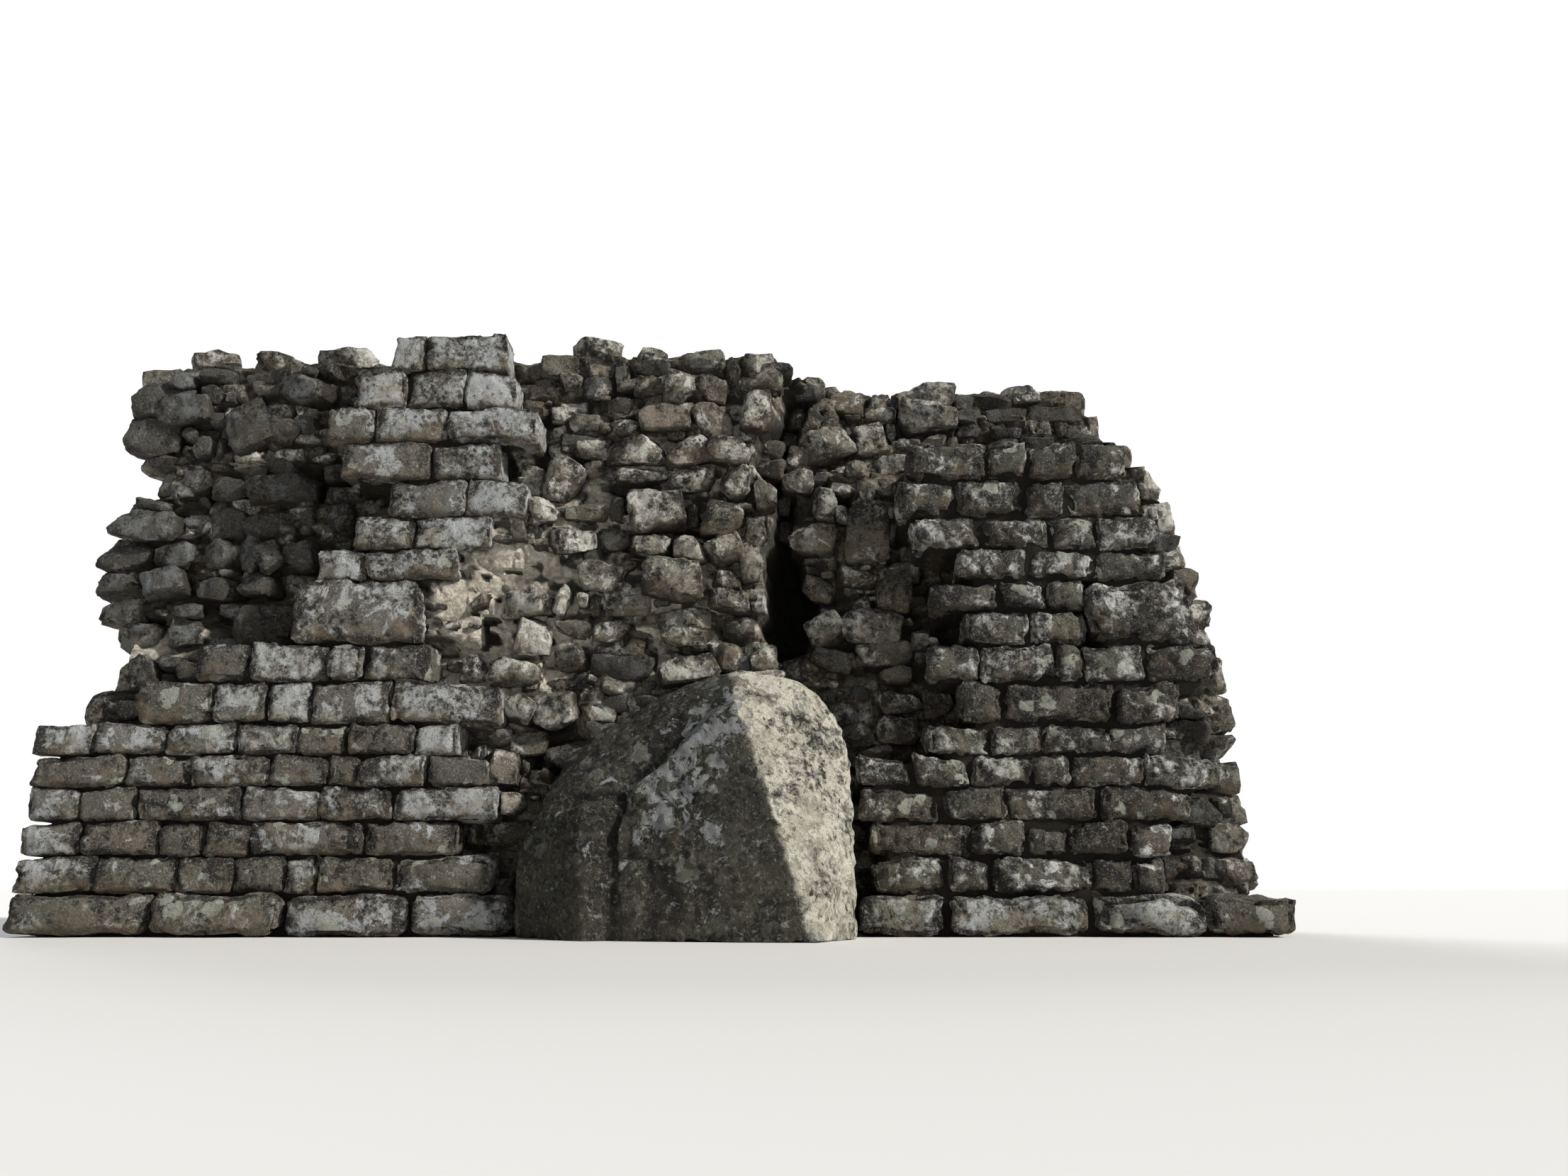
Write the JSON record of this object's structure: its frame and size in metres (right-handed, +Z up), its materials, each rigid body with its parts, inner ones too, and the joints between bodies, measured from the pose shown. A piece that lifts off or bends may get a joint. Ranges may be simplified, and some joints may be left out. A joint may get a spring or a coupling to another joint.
{
  "type": "ruined coursed stone wall",
  "caption": "Free-standing ruined stone wall: squared blocks in courses on a rubble core, with a breach in the front face above a boulder built into its foot.",
  "frame": {"origin": "middle of the wall's footprint at the level that it stands on, halfway between the two faces", "axes": "+X along the wall to the right as seen from the front, +Y from the front face to the rear face, +Z up"},
  "size_m": [6.15, 1.7385, 3.264],
  "materials": {
    "left_face_stone": "rough",
    "right_face_stone": "rough",
    "core_rubble": "rough",
    "rear_face_stone": "rough",
    "footing_stone": "rough",
    "boulder_stone": "rough",
    "head_stone": "rough"
  },
  "bodies": {
    "root": {"left_course_01": "left_face_stone", "left_course_02": "left_face_stone", "left_course_03": "left_face_stone", "left_course_04": "left_face_stone", "left_course_05": "left_face_stone", "left_course_06": "left_face_stone", "left_course_07": "left_face_stone", "left_course_10": "left_face_stone", "left_course_11": "left_face_stone", "left_course_12": "left_face_stone", "left_course_13": "left_face_stone", "left_course_14": "left_face_stone", "left_course_15": "left_face_stone", "left_course_16": "left_face_stone", "left_great_block": "left_face_stone", "right_course_01": "right_face_stone", "right_course_02": "right_face_stone", "right_course_03": "right_face_stone", "right_course_04": "right_face_stone", "right_course_05": "right_face_stone", "right_course_06": "right_face_stone", "right_course_07": "right_face_stone", "right_course_08": "right_face_stone", "right_course_09": "right_face_stone", "right_course_10": "right_face_stone", "right_course_11": "right_face_stone", "right_course_12": "right_face_stone", "right_course_13": "right_face_stone", "right_great_block": "right_face_stone", "core_lift_1": "core_rubble", "core_lift_2": "core_rubble", "core_lift_3": "core_rubble", "core_lift_4": "core_rubble", "core_lift_5": "core_rubble", "core_lift_6": "core_rubble", "rear_lift_1": "rear_face_stone", "rear_lift_2": "rear_face_stone", "rear_lift_3": "rear_face_stone", "rear_lift_4": "rear_face_stone", "rear_lift_5": "rear_face_stone", "rear_lift_6": "rear_face_stone", "footing_left": "footing_stone", "footing_right": "footing_stone", "built_in_boulder": "boulder_stone", "head_stones": "head_stone"}
  },
  "joints": []
}
